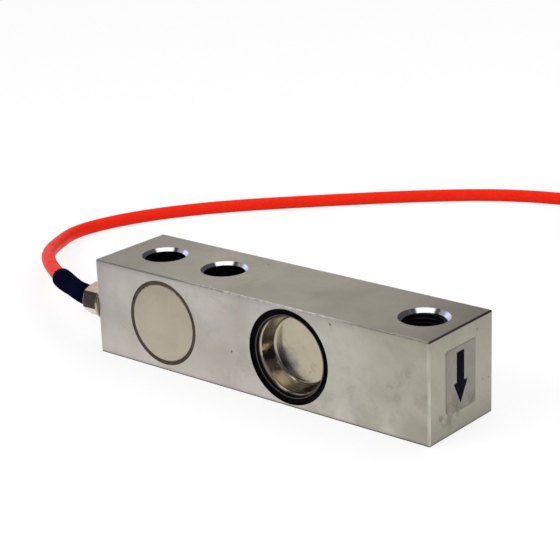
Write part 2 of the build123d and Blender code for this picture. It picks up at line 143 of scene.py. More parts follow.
def stepped(steps, top=1.0):
    """Outline of a stepped recess, from its (radius, depth) steps. It starts above the face."""
    outline = [(0, top)]
    for radius, depth in steps:
        outline += [(radius, top), (radius, -depth)]
        top = -depth
    return outline + [(0, top)]


def rounded(outline, radii, steps=6):
    """An outline whose inner corners are arcs of the given radii."""
    points = [outline[0]]
    for before, here, after, r in zip(outline, outline[1:], outline[2:], radii):
        a = Vector(before) - Vector(here)
        b = Vector(after) - Vector(here)
        if r <= 0:
            points.append(here)
            continue
        half = a.angle(b) / 2
        reach = min(r / math.tan(half), 0.49 * a.length, 0.49 * b.length)
        r = reach * math.tan(half)
        centre = Vector(here) + (a.normalized() + b.normalized()).normalized() * (r / math.sin(half))
        start = Vector(here) + a.normalized() * reach - centre
        end = Vector(here) + b.normalized() * reach - centre
        turn = start.angle_signed(end)
        for k in range(steps + 1):
            c, s = math.cos(-turn * k / steps), math.sin(-turn * k / steps)
            turned = start.x * c - start.y * s, start.x * s + start.y * c
            points.append((centre.x + turned[0], centre.y + turned[1]))
    return points + [outline[-1]]


def crisp(obj, degrees=35):
    """Smooth shading that breaks at sharp edges."""
    obj.data.set_sharp_from_angle(angle=math.radians(degrees))
    return obj


def evaluated(obj):
    """Applies an object's modifiers."""
    graph = bpy.context.evaluated_depsgraph_get()
    mesh = bpy.data.meshes.new_from_object(obj.evaluated_get(graph), depsgraph=graph)
    obj.modifiers.clear()
    obj.data = mesh
    return obj


def cut(obj, cutter, operation="DIFFERENCE"):
    """Cuts one mesh with another and removes the cutter."""
    modifier = obj.modifiers.new("cut", "BOOLEAN")
    modifier.operation = operation
    modifier.solver = "EXACT"
    modifier.object = cutter
    evaluated(obj)
    bpy.data.objects.remove(cutter)
    return obj


def soften(obj, width, segments=2, degrees=30):
    """Breaks the sharp edges of a mesh."""
    modifier = obj.modifiers.new("soften", "BEVEL")
    modifier.width = width * MM
    modifier.segments = segments
    modifier.limit_method = "ANGLE"
    modifier.angle_limit = math.radians(degrees)
    modifier.use_clamp_overlap = True
    return evaluated(obj)


def dress(obj, replaced, materials):
    """Puts a finished piece on the body in place of its solid."""
    obj.data.materials.clear()
    for material in materials:
        obj.data.materials.append(material)
    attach(obj, "root")
    if replaced:
        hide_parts(*replaced)
    return obj


# Materials

class Nodes:
    """A small helper around a node tree."""

    def __init__(self, tree):
        self.tree = tree

    def put(self, socket, value):
        """Gives a socket a value, or a link from another socket."""
        if isinstance(value, bpy.types.NodeSocket):
            self.tree.links.new(value, socket)
        else:
            socket.default_value = value

    def node(self, kind, inputs=None, **settings):
        node = self.tree.nodes.new(kind)
        for key, value in settings.items():
            setattr(node, key, value)
        for key, value in (inputs or {}).items():
            self.put(node.inputs[key], value)
        return node

    def spread(self, value, low, high, out_low=0.0, out_high=1.0):
        """A value carried from one range to another and kept within it."""
        inputs = {"Value": value, "From Min": low, "From Max": high, "To Min": out_low, "To Max": out_high}
        return self.node("ShaderNodeMapRange", inputs).outputs["Result"]

    def band(self, value, rise, fall, after=0.0):
        """0 before the rise, 1 up to the fall and the last value after it."""
        return self.math("MULTIPLY", self.spread(value, *rise), self.spread(value, *fall, 1.0, after))

    def math(self, operation, a, b=0.0):
        return self.node("ShaderNodeMath", {0: a, 1: b}, operation=operation).outputs[0]

    def vector_math(self, operation, a, b=(0, 0, 0)):
        outputs = self.node("ShaderNodeVectorMath", {0: a, 1: b}, operation=operation).outputs
        return outputs["Value" if operation in ("DISTANCE", "LENGTH", "DOT_PRODUCT") else "Vector"]

    def mix(self, factor, a, b, blend="MIX"):
        inputs = {0: factor, 6: a, 7: b}
        return self.node("ShaderNodeMix", inputs, data_type="RGBA", blend_type=blend).outputs[2]


class Shader(Nodes):
    """The node tree of a new material, with places on the part in metres."""

    def __init__(self, name):
        self.material = bpy.data.materials.new(name)
        self.material.use_nodes = True
        super().__init__(self.material.node_tree)
        self.bsdf = self.tree.nodes["Principled BSDF"]
        self.coords = self.node("ShaderNodeTexCoord").outputs["Object"]

    def set(self, **values):
        """Sets inputs of the principled shader, whose names are written with underscores."""
        for key, value in values.items():
            self.put(self.bsdf.inputs[key.replace("_", " ")], value)

    def show(self, node):
        """Shows another shader in place of the principled one."""
        self.tree.nodes.remove(self.bsdf)
        self.put(self.tree.nodes["Material Output"].inputs["Surface"], node.outputs[0])
        return self.material

    def mapped(self, scale, offset=(0, 0, 0)):
        """Places on the part, scaled by one number or by one for each axis."""
        scale = scale if isinstance(scale, tuple) else (scale,) * 3
        inputs = {"Vector": self.coords, "Scale": scale, "Location": offset}
        return self.node("ShaderNodeMapping", inputs).outputs["Vector"]

    def axes(self):
        """Places on the part as separate X, Y and Z."""
        return self.node("ShaderNodeSeparateXYZ", {"Vector": self.coords}).outputs

    def noise(self, vector, detail=3.0, rough=0.5, warp=0.0):
        inputs = {"Vector": vector, "Scale": 1.0, "Detail": detail, "Roughness": rough, "Distortion": warp}
        return self.node("ShaderNodeTexNoise", inputs).outputs["Fac"]

    def bump(self, height, strength, distance):
        inputs = {"Height": height, "Strength": strength, "Distance": distance}
        return self.node("ShaderNodeBump", inputs).outputs["Normal"]


def rgb(*screen):
    """A colour from its screen values, 0 to 255."""
    linear = [((v / 255 + 0.055) / 1.055) ** 2.4 if v > 10 else v / 255 / 12.92 for v in screen]
    return (*linear, 1.0)


def darker(colour, share):
    """A share of a colour's brightness."""
    return (*(c * share for c in colour[:3]), 1.0)


def shaded(s, colour, painted_shades):
    """A colour darkened, lightened or tinted along the axes as painted shade and light, by (axis, from, to,
    factor from, factor to).
    """
    axes = s.axes()
    for axis, start, end, *factors in painted_shades:
        low, high = (v if isinstance(v, tuple) else (v, v, v) for v in factors)
        factor = s.mix(s.spread(axes[axis], start, end), low + (1.0,), high + (1.0,))
        colour = s.mix(1.0, colour, factor, "MULTIPLY")
    return colour


def marked(s, colour, marks, stain_or_painted_light=rgb(92, 87, 72), scale=700):
    """Patches of colour by (place, size, share): specks and smudges, and in the cup painted shade and
    painted highlights. A smaller scale gives them smoother edges.
    """
    grain = s.noise(s.mapped(scale, offset=(6, 2, 3)), detail=4.0, rough=0.6)
    ragged = s.spread(grain, 0.35, 0.65, 0.5, 1.5)
    for place, size, share in marks:
        away = s.math("MULTIPLY", s.vector_math("DISTANCE", s.coords, place), ragged)
        colour = s.mix(s.spread(away, size * 0.4, size, share, 0.0), colour, stain_or_painted_light)
    return colour


def ground_steel(name, streaks, colour_a, colour_b, roughness, painted_shades, marks=(), scale=700):
    """Fine ground steel: faint streaks, cloudy tone, tiny pits, smudges, and painted shade and light along
    the axes. The streaks are given as a scale along each axis, the lowest one along them."""
    s = Shader(name)
    clouds = s.noise(s.mapped(55), rough=0.55)
    colour = s.mix(s.spread(clouds, 0.35, 0.65), colour_a, colour_b)
    mottle = s.noise(s.mapped(420, offset=(3, 1, 2)), detail=4.0, rough=0.6)
    colour = s.mix(s.spread(mottle, 0.42, 0.72, 0.0, 0.30), colour, darker(colour_a, 0.80))
    stains = s.noise(s.mapped((90, 90, 150), offset=(7, 5, 9)), detail=5.0, rough=0.62, warp=0.6)
    colour = s.mix(s.spread(stains, 0.60, 0.78, 0.0, 0.34), colour, rgb(128, 122, 106))
    pits = s.node("ShaderNodeTexVoronoi", {"Vector": s.mapped(110), "Scale": 1.0}).outputs["Distance"]
    chosen = s.noise(s.mapped(160, offset=(11, 4, 6)), detail=0.0)
    spot = s.math("MULTIPLY", s.spread(pits, 0.035, 0.06, 1.0, 0.0), s.spread(chosen, 0.60, 0.64))
    colour = s.mix(spot, colour, rgb(92, 88, 76))
    colour = marked(s, shaded(s, colour, painted_shades), marks, scale=scale)
    lines = s.noise(s.mapped(streaks), detail=6.0, rough=0.75)
    fine = s.noise(s.mapped(2600), detail=2.0)
    rough = s.math("ADD", s.spread(lines, 0.3, 0.7, roughness - 0.05, roughness + 0.05),
                   s.spread(clouds, 0.3, 0.7, -0.02, 0.04))
    height = s.math("ADD", s.math("MULTIPLY", lines, 0.7), s.math("MULTIPLY", fine, 0.3))
    s.set(Base_Color=colour, Metallic=1.0, Roughness=rough, Normal=s.bump(height, 0.16, 0.00006))
    return s.material


def polished_steel(name, colour, roughness, relief=0.25):
    """Machined bright steel with fine tool marks."""
    s = Shader(name)
    marks = s.noise(s.mapped((300, 300, 5200)), detail=4.0, rough=0.7)
    patches = s.noise(s.mapped(260), detail=2.0)
    s.set(
        Base_Color=s.mix(s.spread(patches, 0.35, 0.7, 0.0, 0.6), colour, darker(colour, 0.72)),
        Metallic=1.0,
        Roughness=s.spread(marks, 0.3, 0.7, roughness - 0.05, roughness + 0.07),
        Normal=s.bump(marks, relief, 0.00005),
    )
    return s.material


def worn_edge(name, plain, bright):
    """Broken edge: plain at both ends, paler with small bright nicks between, dark at the load face."""
    s = Shader(name)
    nicks = s.noise(s.mapped(520), rough=0.7)
    runs = s.noise(s.mapped(70, offset=(3, 9, 4)), detail=1.0)
    along = s.axes()["X"]
    middle = s.band(along, (0.004, 0.03), (0.060, 0.078))
    worn = s.math("MULTIPLY", s.spread(nicks, 0.42, 0.6), s.spread(runs, 0.3, 0.5, 0.4, 1.0))
    worn = s.math("MULTIPLY", s.spread(worn, 0.0, 1.0, 0.35, 1.0), middle)
    tone = s.mix(s.spread(along, 0.1008, 0.1014), s.mix(worn, plain, bright), rgb(104, 94, 90))
    s.set(
        Base_Color=tone,
        Metallic=s.spread(worn, 0, 1, 1.0, 0.72),
        Roughness=s.spread(worn, 0, 1, 0.5, 0.4),
        Normal=s.bump(nicks, 0.3, 0.00008),
    )
    return s.material


def drawn_steel(name, place, colour, roughness, shade, wall=None, dark=(), bright=()):
    """Pressed sheet: rings round its axis, smudges and stains. A cup also has painted shade inside its rim,
    a lighter wall as painted light, painted shade on its wall and bottom and painted highlights on its wall,
    told apart by their height."""
    s = Shader(name)
    origin, out = place[:2]
    across = tuple(1 - abs(c) for c in out)
    centred = s.vector_math("SUBTRACT", s.coords, tuple(origin * MM))
    radius = s.vector_math("LENGTH", s.vector_math("MULTIPLY", centred, across))
    height = s.vector_math("DOT_PRODUCT", centred, tuple(out))
    inputs = {"X": s.math("MULTIPLY", radius, 2400.0), "Y": s.math("MULTIPLY", height, 2400.0)}
    rings = s.noise(s.node("ShaderNodeCombineXYZ", inputs).outputs[0], detail=4.0, rough=0.6)
    smudge = s.noise(s.mapped(130), detail=5.0, rough=0.62, warp=0.8)
    stains = s.noise(s.mapped(300, offset=(2, 8, 5)), detail=4.0, rough=0.6)
    tone = s.mix(s.spread(smudge, 0.42, 0.70, 0.0, 0.5), colour, darker(colour, shade))
    tone = s.mix(s.spread(stains, 0.60, 0.75, 0.0, 0.4 if wall else 0.1), tone, rgb(118, 104, 84))
    if wall:
        # Painted shade inside the rim, down to the shoulder
        rim = s.band(height, (-0.0019, -0.0016), (-0.0005, -0.0004), 0.75)
        sides = s.band(height, (-0.0066, -0.0062), (-0.0030, -0.0022))
        bottom = s.spread(height, -0.0068, -0.0062, 1.0, 0.0)
        tone = s.mix(rim, tone, rgb(46, 38, 44))
        # Painted shade in blue-grey on the bottom
        tone = s.mix(bottom, tone, marked(s, tone, dark, rgb(92, 92, 100), 60))
        # The wall's lighter tone is painted light, with painted shade and painted highlights on it
        sheet = marked(s, wall, dark, rgb(84, 78, 86))
        sheet = marked(s, sheet, bright, rgb(255, 244, 214), 150)
        tone = s.mix(sides, tone, sheet)
    rough = s.math("ADD", s.spread(smudge, 0.3, 0.7, roughness - 0.03, roughness + 0.07),
                   s.spread(rings, 0.3, 0.7, -0.02, 0.02))
    s.set(Base_Color=tone, Metallic=1.0, Roughness=rough, Normal=s.bump(rings, 0.12, 0.00005))
    return s.material


def compound(name, colour_a, colour_b, roughness, grain, relief, level=0.5):
    """Rubber, sealant, resin or dull plastic with an uneven surface."""
    s = Shader(name)
    lumps = s.noise(s.mapped(grain), detail=4.0, rough=0.6)
    tone = s.noise(s.mapped(grain / 4, offset=(4, 2, 1)), detail=2.0)
    s.set(
        Base_Color=s.mix(s.spread(tone, 0.35, 0.65), colour_a, colour_b),
        Roughness=s.spread(lumps, 0.3, 0.7, roughness - 0.06, roughness + 0.08),
        Normal=s.bump(lumps, 0.3, relief),
        Specular_IOR_Level=level,
    )
    return s.material


def sheath(name, colour, worn, roughness):
    """Smooth cable sheath with faint waviness and a little dust."""
    s = Shader(name)
    wave = s.noise(s.mapped(160), detail=2.0, rough=0.4)
    dust = s.noise(s.mapped(900, offset=(5, 3, 2)), detail=4.0, rough=0.6)
    s.set(
        Base_Color=s.mix(s.spread(dust, 0.45, 0.75, 0.0, 0.35), colour, worn),
        Roughness=s.spread(wave, 0.3, 0.7, roughness - 0.05, roughness + 0.07),
        Normal=s.bump(wave, 0.2, 0.0003),
        Specular_IOR_Level=0.08,
    )
    return s.material


def bare_metal(name, colour, roughness):
    """Small bright metal parts such as solder, tinned wire or terminals."""
    s = Shader(name)
    grain = s.noise(s.mapped(1500))
    s.set(
        Base_Color=s.mix(s.spread(grain, 0.4, 0.7, 0.0, 0.4), colour, darker(colour, 0.7)),
        Metallic=1.0,
        Roughness=s.spread(grain, 0.3, 0.7, roughness - 0.05, roughness + 0.08),
        Normal=s.bump(grain, 0.2, 0.00005),
    )
    return s.material


# Painted shade and painted light on each face, darker or lighter along an axis, and a yellower tone towards
# the load face on the front: (axis, from, to, factor from, factor to)
# Painted shade along the lower edge, where the beam meets the floor
LOWER_EDGE_PAINTED_SHADE = ("Z", 0.0004, 0.0012, 0.72, 1.0)
FACE_PAINTED_SHADES = [
    ("X", -0.0285, -0.016, 0.84, 1.0),
    ("X", 0.045, 0.095, 1.0, (0.99, 1.012, 0.925)),
    ("X", 0.086, 0.1006, 1.0, 0.85),
    ("X", 0.1007, 0.1010, 1.0, 1.22),
    ("Z", 0.003, 0.012, 1.14, 1.0),
    ("Z", 0.0296, 0.0312, 1.0, 0.86),
    LOWER_EDGE_PAINTED_SHADE,
]
TOP_PAINTED_SHADES = [("X", -0.0285, 0.004, 0.72, 1.0), ("X", 0.082, 0.1017, 1.0, 0.72)]
END_PAINTED_SHADES = [("Z", 0.0, 0.009, 0.80, 1.0), ("Z", 0.026, 0.0318, 1.0, 0.90), LOWER_EDGE_PAINTED_SHADE]

# Smudges on the front face: (x, z, size, share)
FACE_MARKS = [
    (0.0985, 0.0020, 0.0120, 0.20), (0.0955, 0.0300, 0.0100, 0.14), (0.0990, 0.0180, 0.0080, 0.08),
    (0.0800, 0.0010, 0.0090, 0.18), (0.0860, 0.0140, 0.0080, 0.08), (0.0640, 0.0005, 0.0070, 0.14),
    (0.1100, 0.0100, 0.0700, 0.11),
]
# Specks and smudges on the load face: (y, z, size, share)
END_MARKS = [
    (0.0138, 0.0116, 0.0005, 0.60), (0.0107, 0.0122, 0.0004, 0.50), (0.0078, 0.0284, 0.0006, 0.45),
    (-0.0105, 0.0070, 0.0016, 0.50), (-0.0064, 0.0050, 0.0028, 0.45), (-0.0020, 0.0062, 0.0016, 0.35),
]
# Painted shade on the front cup, on its wall and on its bottom: (place, size, share)
CUP_PAINTED_SHADE = [
    ((0.0397, -0.0120, 0.0115), 0.0050, 0.90), ((0.0420, -0.0115, 0.0080), 0.0034, 0.90),
    ((0.0548, -0.0118, 0.0048), 0.0034, 0.80), ((0.0436, -0.0088, 0.0118), 0.0042, 0.65),
    ((0.0454, -0.0088, 0.0088), 0.0036, 0.55), ((0.0428, -0.0088, 0.0140), 0.0030, 0.45),
]
# Painted highlights on its wall
CUP_PAINTED_HIGHLIGHTS = [((0.0451, -0.0114, 0.0059), 0.0034, 1.0), ((0.0500, -0.0118, 0.0044), 0.0040, 0.8)]

# The top and the load face get darker base tones than the front face of the same steel: painted shade
face_steel = ground_steel(
    "ground_face", (60, 1500, 1500), rgb(194, 188, 182), rgb(179, 173, 165), 0.34, FACE_PAINTED_SHADES,
    [((x, FRONT * MM, z), size, share) for x, z, size, share in FACE_MARKS], 150)
top_steel = ground_steel(
    "ground_top", (50, 1700, 1700), rgb(180, 175, 165), rgb(169, 165, 154), 0.36, TOP_PAINTED_SHADES)
end_steel = ground_steel(
    "ground_end", (1500, 1500, 70), rgb(167, 162, 149), rgb(157, 155, 141), 0.34, END_PAINTED_SHADES,
    [((LOAD_FACE * MM, y, z), size, share) for y, z, size, share in END_MARKS])
edge_steel = worn_edge("edge_steel", rgb(174, 170, 164), rgb(238, 234, 226))
upright_steel = polished_steel("upright_steel", rgb(196, 193, 180), 0.34)
# Steel of the rounded edges facing down, made dark as painted shade
under_painted_shade_steel = polished_steel("under_painted_shade_steel", rgb(74, 69, 60), 0.45)
chamfer_steel = polished_steel("chamfer_steel", rgb(225, 224, 228), 0.09, 0.08)
# Steel of the bores and the thread, made dark as painted shade inside the holes
bore_painted_shade_steel = polished_steel("bore_painted_shade_steel", rgb(76, 75, 92), 0.25)
thread_painted_shade_steel = polished_steel("thread_painted_shade_steel", rgb(32, 31, 40), 0.42)
sealant_black = compound("sealant_black", rgb(7, 5, 9), rgb(12, 9, 13), 0.34, 500.0, 0.0002, 0.02)
sealant_grey = compound("sealant_grey", rgb(60, 53, 47), rgb(72, 63, 54), 0.6, 900.0, 0.0001, 0.1)
disc_steel = drawn_steel("disc_steel", DISC, rgb(189, 179, 161), 0.42, 0.96)
# Colour, roughness and smudge darkness of the cups, and a lighter tone for their walls as painted light
cup_tones = rgb(180, 171, 151), 0.15, 0.8, rgb(202, 193, 180)
cup_front_steel = drawn_steel("cup_front_steel", FRONT_CUP, *cup_tones, CUP_PAINTED_SHADE, CUP_PAINTED_HIGHLIGHTS)
cup_rear_steel = drawn_steel("cup_rear_steel", REAR_CUP, *cup_tones)
gland_steel = polished_steel("gland_steel", rgb(200, 188, 174), 0.1, 0.06)
collar_steel = polished_steel("collar_steel", rgb(180, 171, 144), 0.3, 0.1)
sleeve_black = compound("sleeve_black", rgb(7, 7, 25), rgb(12, 12, 31), 0.4, 380.0, 0.0002, 0.0)
cable_red = sheath("cable_red", rgb(216, 29, 4), rgb(222, 46, 15), 0.45)
arrow_black = compound("arrow_black", rgb(17, 14, 28), rgb(23, 19, 33), 0.55, 2500.0, 0.00003, 0.0)


# Beam

# Material slots of the beam
FACE, TOP, END, EDGE, CHAMFER, BORE, UPRIGHT, UNDER = range(8)
BEAM_STEELS = [face_steel, top_steel, end_steel, edge_steel, chamfer_steel, bore_painted_shade_steel, upright_steel,
               under_painted_shade_steel]


def through_cutter(x, radius, lead_in):
    """Cutter for a hole down through the beam, opened out at both ends."""
    outline = [(0, -1), (radius + lead_in + 1, -1), (radius, lead_in), (radius, HEIGHT - lead_in),
               (radius + lead_in + 1, HEIGHT + 1), (0, HEIGHT + 1)]
    return lathe("cutter", upright(x), outline, 112)


def drill_cutter(radius, start, end):
    """Cutter for a stretch of the long drilling."""
    place = frame_of((start, GLAND_Y, GLAND_Z), (1, 0, 0), (0, 1, 0))
    return lathe("cutter", place, [(0, 0), (radius, 0), (radius, end - start), (0, end - start)], 40)


def build_beam():
    """The beam with all its holes, pockets and drillings."""
    corner, rim = 0.5, 0.1
    verts = [(x, y, z) for x in (CABLE_FACE, LOAD_FACE) for y in (FRONT, -FRONT) for z in (0, HEIGHT)]
    faces = [(0, 1, 3, 2), (4, 6, 7, 5), (0, 4, 5, 1), (2, 3, 7, 6), (0, 2, 6, 4), (1, 5, 7, 3)]
    beam = new_object("beam", verts, faces, False)
    soften(beam, corner, 3)
    for x in MOUNTING_HOLES:
        cut(beam, through_cutter(x, MOUNTING_HOLE_R, MOUNTING_LEAD_IN))
    cut(beam, through_cutter(LOAD_HOLE, LOAD_HOLE_R, LOAD_LEAD_IN))
    for place in (FRONT_CUP, REAR_CUP):
        cut(beam, lathe("cutter", place, stepped([(GROOVE_R, GROOVE_DEPTH), (POCKET_R, POCKET_DEPTH)])))
    cut(beam, lathe("cutter", DISC, stepped([(RECESS_R, DISC_THICKNESS), (WIRING_R, WIRING_DEPTH)])))
    cut(beam, drill_cutter(SPIGOT_R, CABLE_FACE - 1, CABLE_FACE + SPIGOT_HOLE))
    cut(beam, drill_cutter(CORE_R, CABLE_FACE, 0))
    cut(beam, drill_cutter(LEAD_HOLE_R, 0, POCKET))
    x, z = WEB_HOLE
    web = frame_of((x, -WEB_REACH, z), (0, 1, 0), (1, 0, 0))
    web_cutter = [(0, 0), (WEB_HOLE_R, 0), (WEB_HOLE_R, 2 * WEB_REACH), (0, 2 * WEB_REACH)]
    cut(beam, lathe("cutter", web, web_cutter, 32))
    soften(beam, rim, 2, 38)
    return crisp(beam, 40)


def sort_surfaces(beam):
    """Gives each polygon of the beam the steel of the surface that it lies on."""
    middle = (CABLE_FACE + LOAD_FACE) / 2
    skin, edge_reach, rim_reach = 0.02, 0.6, 8.2
    sloping, level = 0.2, 0.9
    for polygon in beam.data.polygons:
        c, n = polygon.center / MM, polygon.normal
        flat = max(abs(n.x), abs(n.y), abs(n.z)) > 0.999
        inside = min(LENGTH / 2 - abs(c.x - middle), WIDTH / 2 - abs(c.y), HEIGHT / 2 - abs(c.z - MID))
        if flat and inside < skin:
            polygon.material_index = TOP if abs(n.z) > level else END if abs(n.x) > level else FACE
            polygon.use_smooth = False
            continue
        rim = min(math.hypot(c.x - x, c.y) for x in (*MOUNTING_HOLES, LOAD_HOLE))
        if rim < rim_reach and abs(n.z) > sloping:
            polygon.material_index = CHAMFER
        elif inside < edge_reach:
            polygon.material_index = EDGE if n.z > sloping else UNDER if n.z < -sloping else UPRIGHT
        else:
            polygon.material_index = BORE


beam = dress(build_beam(), ["beam_body"], BEAM_STEELS)
sort_surfaces(beam)


def build_thread():
    """Turns of the load hole's thread, standing in from its wall."""
    pitch, crest, root, run_out, inset = 1.27, 5.75, 6.42, 0.8, 1.1
    steepness, valley = 2.6, 0.15
    steps, turn = 10, 72
    low, high = inset, HEIGHT - inset
    rows = int((high - low) / pitch * steps)
    verts, faces = [], []
    for row in range(rows + 1):
        z = low + (high - low) * row / rows
        fade = max(0.0, min(1.0, (z - low) / run_out, (high - z) / run_out))
        for i in range(turn):
            a = TAU * i / turn
            phase = (z / pitch - i / turn) % 1.0
            ridge = max(0.0, min(1.0, steepness * (0.5 - abs(phase - 0.5)) - valley))
            r = root - (root - crest) * ridge * fade
            verts.append((LOAD_HOLE + r * math.cos(a), r * math.sin(a), z))
    for row in range(rows):
        for i in range(turn):
            j = (i + 1) % turn
            faces.append((row * turn + i, (row + 1) * turn + i, (row + 1) * turn + j, row * turn + j))
    return new_object("load_thread", verts, faces)


dress(crisp(build_thread(), 50), [], [thread_painted_shade_steel])

# Disc, cups and sealant

disc_outline = rounded(
    [(0, 0.0), (DISC_R, 0.0), (DISC_R, -DISC_THICKNESS), (0, -DISC_THICKNESS)], [0.16, 0.0], 4)
disc = lathe("wiring_disc", DISC, disc_outline, 160)
dress(crisp(disc), ["wiring_cover"], [disc_steel])

RING_TOP = -0.22
ring_outline = rounded(
    [(DISC_R, -DISC_THICKNESS), (DISC_R, -0.10), (DISC_R + 0.25, RING_TOP), (RECESS_R - 0.25, RING_TOP),
     (RECESS_R, -0.08), (RECESS_R, -DISC_THICKNESS)],
    [0.0, 0.15, 0.15, 0.0], 3)
ring = lathe("wiring_ring", DISC, ring_outline, 160, closed=True)
dress(crisp(ring, 60), ["wiring_cover_sealant"], [sealant_grey])


def build_cup(name, place):
    """Drawn cup: a rim with a cut edge, a rounded shoulder, a steep wall and a dished bottom."""
    rim, edge = -0.45, -0.8
    inner = [(12.7, rim), (12.65, -1.5), (12.05, -2.15), (10.8, -7.0), (0, -7.3)]
    outer = [(POCKET_R, rim), (POCKET_R, -1.7), (12.55, -2.36), (11.3, -7.5), (0, -7.8)]
    top = rounded([(POCKET_R, edge), (POCKET_R, rim), (12.7, rim), (12.69, edge)], [0.14, 0.18], 3)
    outline = rounded(outer, [0.6, 0.6, 1.2], 5)[:0:-1] + top + rounded(inner, [0.5, 0.5, 0.9], 8)[1:]
    cup = lathe(name, place, outline, 192)
    uneven_r, unevenness = 12.0, 0.09
    for vertex in cup.data.vertices:
        p = vertex.co / MM
        r = math.hypot(p.x - POCKET, p.z - MID)
        if r < uneven_r:
            swell = noise.noise(Vector((p.x, p.y * 0.4, p.z)) * 0.24)
            vertex.co += place[1] * MM * unevenness * swell * (1 - (r / uneven_r) ** 4)
    return cup


SEAL_TOP, SEAL_LIP, SEAL_FALL = -1.1, -0.75, 0.35
seal_outline = rounded(
    [(POCKET_R, -GROOVE_DEPTH), (POCKET_R, SEAL_LIP), (POCKET_R + SEAL_FALL, SEAL_TOP),
     (GROOVE_R - SEAL_FALL, SEAL_TOP), (GROOVE_R, SEAL_LIP), (GROOVE_R, -GROOVE_DEPTH)],
    [0.05, 0.3, 0.3, 0.05], 4)
for side, place, steel in (("front", FRONT_CUP, cup_front_steel), ("rear", REAR_CUP, cup_rear_steel)):
    cup = build_cup("cup_" + side, place)
    dress(crisp(cup, 50), ["gauge_cup_" + side], [steel])
    seal = lathe("cup_" + side + "_seal", place, seal_outline, 160, closed=True)
    dress(crisp(seal, 60), ["cup_sealant_" + side], [sealant_black])

# Gland

def build_gland():
    """Hexagon of the gland with its turned corners and its mouth. Its large facets are flat."""
    flats, length, turn = 9.5, 7.2, math.radians(16)
    cable_r, mouth_r, ledge = 2.55, 3.66, 3.0
    facet_area = 1e-6
    origin, out, right, up = GLAND
    corner = flats / 2 / math.cos(math.pi / 6)
    top = FLANGE_THICKNESS + length
    verts = []
    for h in (FLANGE_THICKNESS - 0.3, top):
        for k in range(6):
            a = math.pi / 3 * k - turn
            verts.append(origin + out * h + (right * math.cos(a) + up * math.sin(a)) * corner)
    faces = [tuple(range(5, -1, -1)), tuple(range(6, 12))]
    faces += [(k, (k + 1) % 6, (k + 1) % 6 + 6, k + 6) for k in range(6)]
    gland = facing_out(new_object("gland", verts, faces, False))
    end = top + 0.02
    cone = [(0, 0), (corner + 1, 0), (corner + 0.1, top - 0.9), (corner - 1.45, end), (0, end)]
    cut(gland, lathe("cutter", GLAND, cone, 96), "INTERSECT")
    bore = [(0, 0), (CORE_R, 0), (CORE_R, ledge), (cable_r, ledge), (cable_r, top - ledge),
            (mouth_r, top - ledge), (mouth_r, top + 1), (0, top + 1)]
    cut(gland, lathe("cutter", GLAND, bore, 72))
    crisp(soften(gland, 0.15, 3, 25), 40)
    for polygon in gland.data.polygons:
        if polygon.area > facet_area:
            polygon.use_smooth = False
    return gland


dress(build_gland(), ["gland_body"], [gland_steel])
SEAT = 0.02
collar_outline = rounded(
    [(CORE_R, -SPIGOT_LENGTH), (SPIGOT_R, -SPIGOT_LENGTH), (SPIGOT_R, SEAT), (FLANGE_R, SEAT),
     (FLANGE_R, FLANGE_THICKNESS), (CORE_R, FLANGE_THICKNESS)],
    [0.3, 0.0, 0.1, 0.2], 3)
collar = lathe("gland_collar", GLAND, collar_outline, 96, closed=True)
dress(crisp(collar, 40), [], [collar_steel])

# Cable

# Control points from the gland to the coil, and from the coil to the free end
ROUTE = [
    (-31.5, -10.7, 15.6), (-40.0, -10.7, 15.6), (-55.5, -4.3, 15.3), (-66.5, 1.9, 14.2),
    (-84.0, 13.8, 12.0), (-101.0, 29.0, 8.2), (-116.0, 48.0, 4.2), (-125.5, 66.0, 2.5),
    (-121.5, 86.0, 2.5), (-111.5, 106.0, 2.5), (-96.0, 126.5, 2.5), (-70.0, 152.2, 2.5),
    (-41.0, 178.8, 2.5), (-12.0, 200.5, 2.5), (20.0, 210.5, 2.5),
]
TAIL = [(115.4, 165.7, 11.2), (121.2, 146.6, 3.1), (127.7, 129.8, 3.1)]
COIL_CENTRE = (76.0, 190.5)
COIL_ENTRY = 103.8
COIL_RADII = [32.8, 27.8, 22.8, 17.8, 17.8, 22.8, 27.8, 32.8] * 2
IN_LAYER = 4
STEPS = 16
STEPS_TO_SHIFT = 3
# A smooth line runs a little inside its control points
DRAWN_IN = 0.981


def coil_points():
    """Turns of the coil, four side by side in each of four layers."""
    last = len(COIL_RADII) - 1
    levels = [CABLE_R + 2 * CABLE_R * (turn // IN_LAYER) for turn in range(last + 1)]
    points = []
    for k in range(len(COIL_RADII) * STEPS + 5):
        turn, part = divmod(k, STEPS)
        here, after = min(turn, last), min(turn + 1, last)
        share = max(0.0, (part - STEPS + STEPS_TO_SHIFT) / STEPS_TO_SHIFT)
        r = (COIL_RADII[here] + (COIL_RADII[after] - COIL_RADII[here]) * share) / DRAWN_IN
        z = levels[here] + (levels[after] - levels[here]) * share
        a = math.radians(COIL_ENTRY) + math.pi / STEPS - TAU * k / STEPS
        points.append((COIL_CENTRE[0] + r * math.cos(a), COIL_CENTRE[1] + r * math.sin(a), z))
    return points


def spline_object(name, points, radius, resolution=6):
    """A smooth round line through space, from control points in millimetres."""
    curve = bpy.data.curves.new(name, "CURVE")
    curve.dimensions = "3D"
    spline = curve.splines.new("NURBS")
    spline.points.add(len(points) - 1)
    for place, point in zip(spline.points, points):
        place.co = (*(Vector(point) * MM), 1.0)
    spline.order_u = 3
    spline.use_endpoint_u = True
    spline.resolution_u = resolution
    curve.bevel_depth = radius * MM
    curve.bevel_resolution = 8
    curve.use_fill_caps = True
    return linked(name, curve)


cable = spline_object("cable_red", ROUTE + coil_points() + TAIL, CABLE_R)
dress(cable, ["cable", "cable_coil", "cable_tail"], [cable_red])


